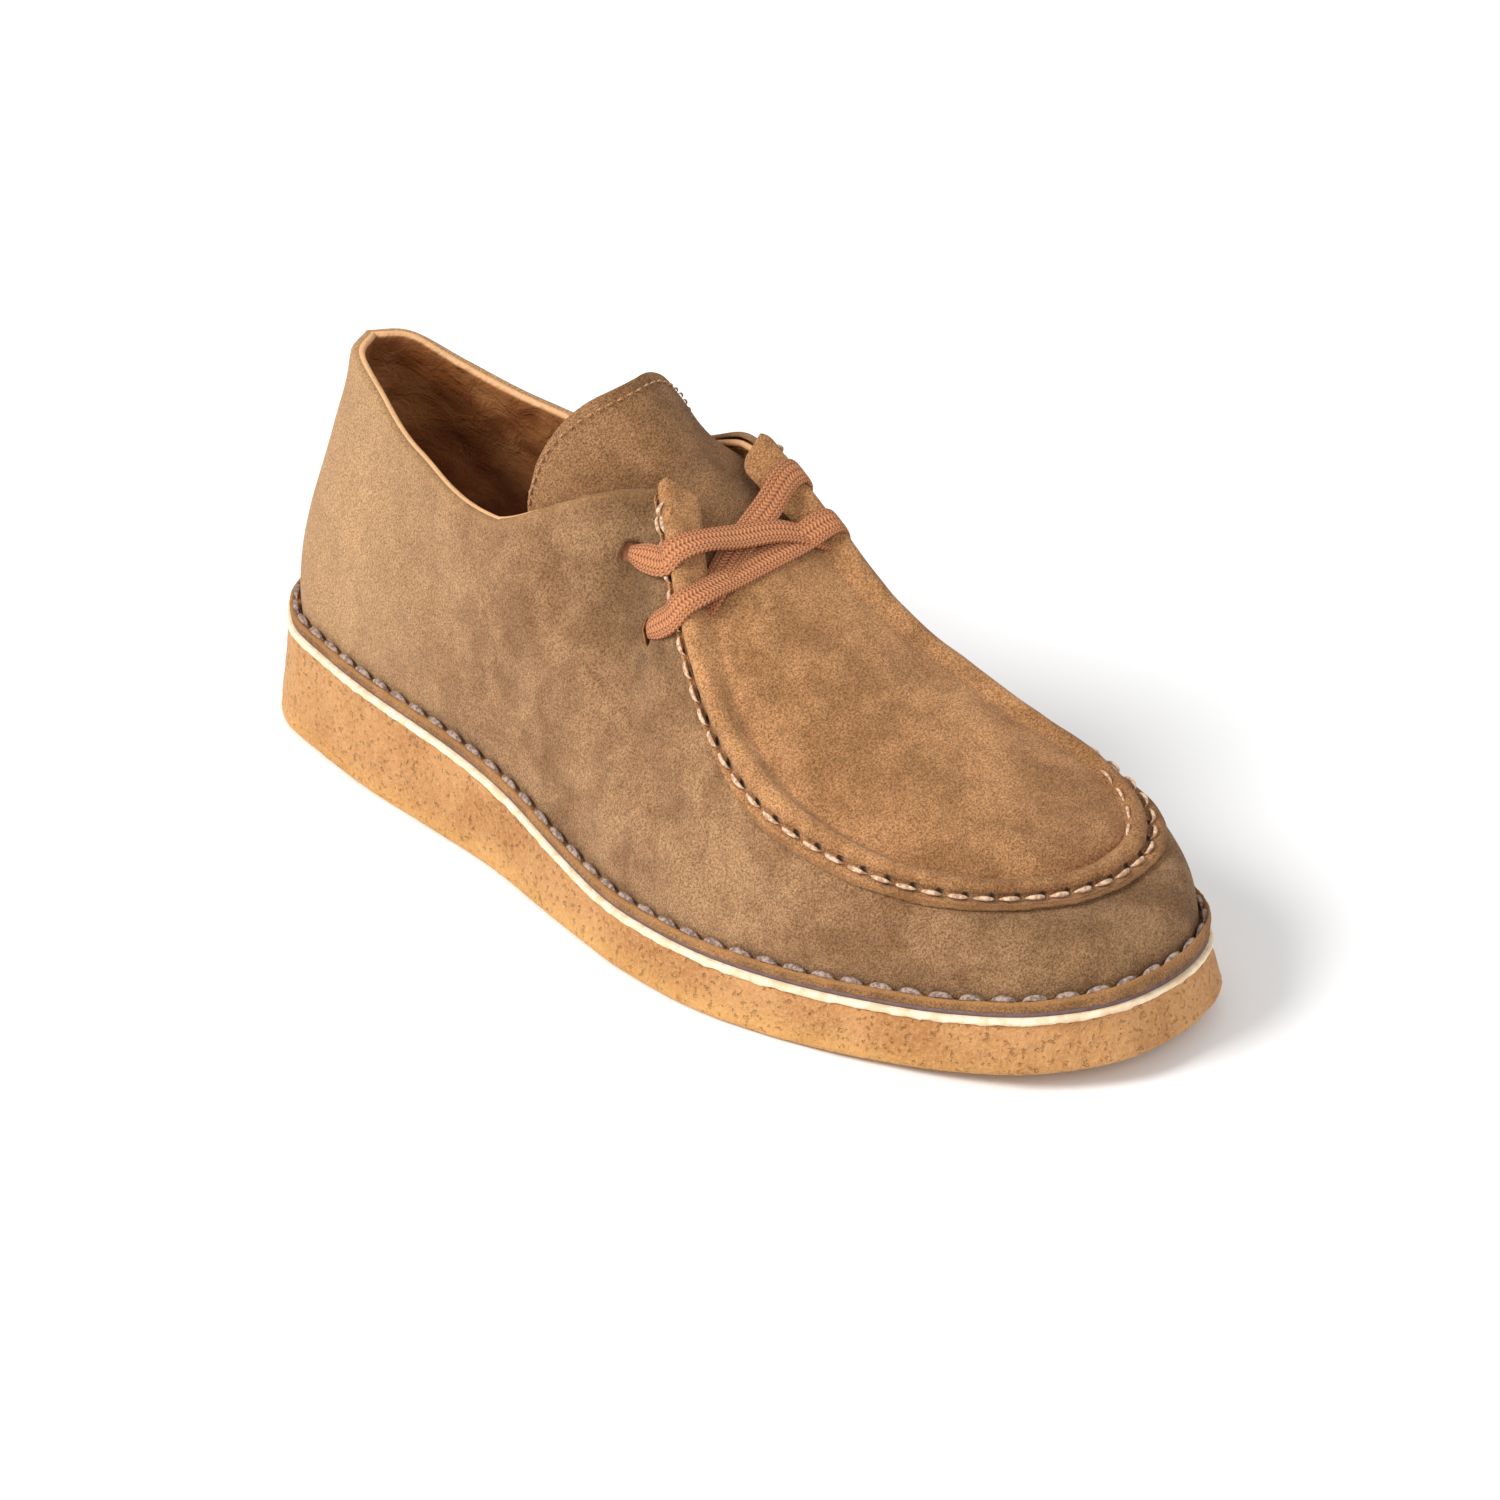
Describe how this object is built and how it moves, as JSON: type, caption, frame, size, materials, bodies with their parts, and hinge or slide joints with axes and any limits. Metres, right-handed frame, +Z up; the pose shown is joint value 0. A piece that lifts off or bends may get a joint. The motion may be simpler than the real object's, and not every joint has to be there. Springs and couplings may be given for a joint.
{
  "type": "moc toe suede lace shoe",
  "caption": "Low moc toe suede lace shoe with a raised apron seam, wide tongue, flat laces, stitched welt strip and crepe wedge sole",
  "frame": {"origin": "on the floor under the middle of the sole's length and width", "axes": "+Z up, toe along -Y, heel along +Y, the wearer's right side (lateral) along -X"},
  "size_m": [0.1152, 0.304, 0.1331],
  "materials": {
    "crepe": "matt, coarse grain",
    "cream_layer": "matt",
    "suede": "napped",
    "footbed": "smooth, matt",
    "lace": "flat braid"
  },
  "bodies": {
    "root": {"outsole": "crepe", "midsole": "cream_layer", "welt": "suede", "insole": "footbed", "upper": "suede", "apron": "suede", "backstay": "suede", "tongue": "suede", "laces": "lace"}
  },
  "joints": []
}
